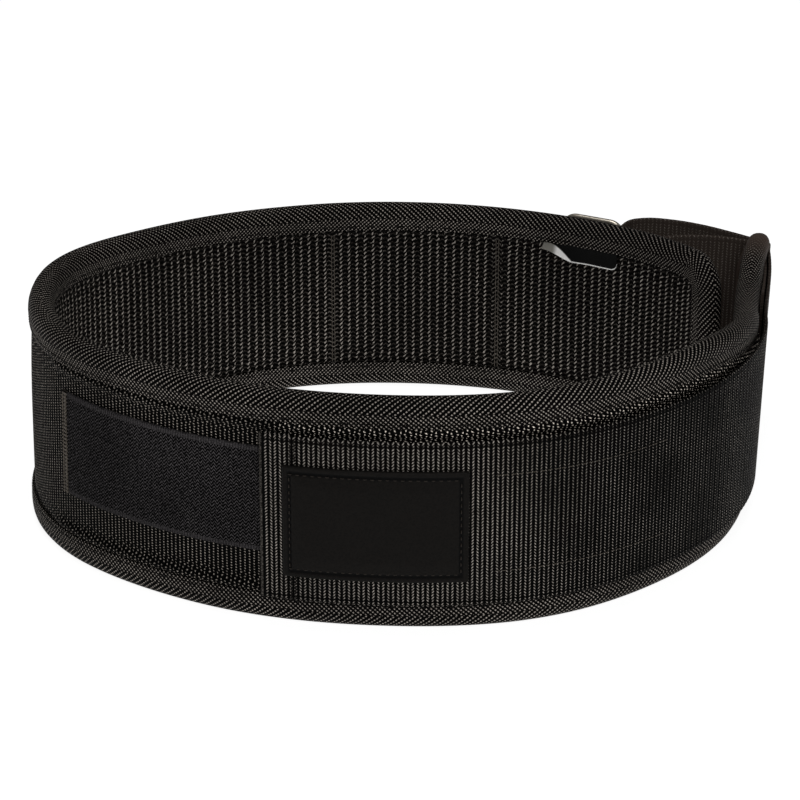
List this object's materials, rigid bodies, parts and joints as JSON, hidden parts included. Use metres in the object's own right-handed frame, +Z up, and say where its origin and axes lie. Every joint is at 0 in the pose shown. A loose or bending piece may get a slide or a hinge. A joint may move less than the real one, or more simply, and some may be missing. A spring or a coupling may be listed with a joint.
{
  "type": "padded webbing waist belt",
  "caption": "Padded waist belt of webbing, closed into a ring by a wide hook-and-loop strap that passes through a steel ring.",
  "frame": {"origin": "under the middle of the belt's outline, on the surface it stands on", "axes": "+Z up, out of the ring; +X to the viewer's right, towards the belt's outer end; -Y towards the viewer, where the strap's end is"},
  "size_m": [0.357, 0.295, 0.1065],
  "materials": {
    "foam": "closed-cell neoprene foam",
    "cover": "ribbed nylon webbing",
    "lining": "coarse ribbed nylon",
    "binding": "herringbone twill tape",
    "loop": "brushed loop pile",
    "hook": "hook tape",
    "strap": "chevron nylon webbing",
    "steel": "nickel-plated",
    "badge": "fine-grained, stitched",
    "label": "glossy satin tape"
  },
  "bodies": {
    "root": {"neoprene_core": "foam", "outer_cover": "cover", "inner_lining": "lining", "binding_upper": "binding", "binding_lower": "binding", "loop_field": "loop", "hook_panel": "hook", "webbing_strap": "strap", "ring_keeper": "strap", "buckle_ring": "steel", "badge_patch": "badge", "size_label": "label"}
  },
  "joints": []
}
